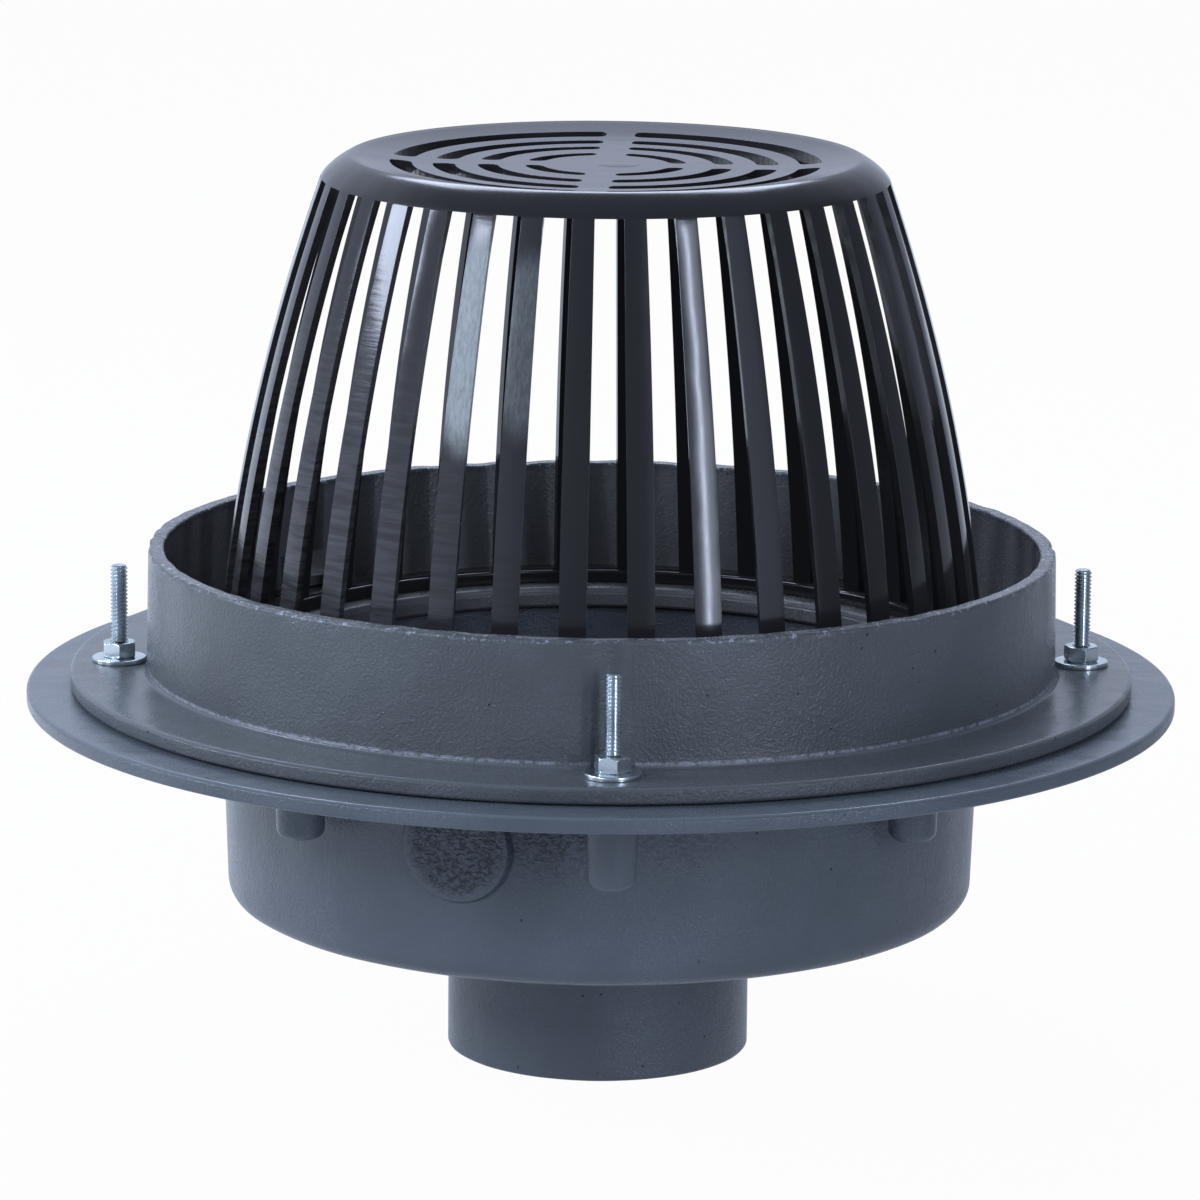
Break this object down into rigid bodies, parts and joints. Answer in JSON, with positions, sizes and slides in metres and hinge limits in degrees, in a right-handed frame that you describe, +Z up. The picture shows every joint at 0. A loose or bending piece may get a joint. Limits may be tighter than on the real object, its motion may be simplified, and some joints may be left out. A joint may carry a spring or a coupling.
{
  "type": "flat roof drain",
  "caption": "Cast roof drain with a deck flange, sump and outlet, a clamp ring with a gravel guard, and a slotted dome strainer that twists off.",
  "frame": {"origin": "on the drain's axis at the lower end of the outlet spigot, which it stands on", "axes": "+Z up along the drain's axis, -Y towards the front stud, +X towards the right stud"},
  "size_m": [0.4199, 0.42, 0.3313],
  "materials": {
    "casting_enamel": "glossy dark blue-grey enamel over a rough casting",
    "dome_plastic": "black moulded polyethylene with a soft gloss",
    "zinc_plate": "bright zinc plating"
  },
  "bodies": {
    "drain": {"drain_body": "casting_enamel", "clamp_ring": "casting_enamel", "stud_front": "zinc_plate", "stud_right": "zinc_plate", "stud_back": "zinc_plate", "stud_left": "zinc_plate", "washer_front": "zinc_plate", "washer_right": "zinc_plate", "washer_back": "zinc_plate", "washer_left": "zinc_plate", "nut_front": "zinc_plate", "nut_right": "zinc_plate", "nut_back": "zinc_plate", "nut_left": "zinc_plate"},
    "dome": {"dome_strainer": "dome_plastic"}
  },
  "joints": [
    {"name": "dome_twist", "type": "hinge", "parent": "drain", "child": "dome", "pos_m": [0, 0, 0.1453], "axis": [0, 0, 1], "range_deg": [0, 12]}
  ]
}
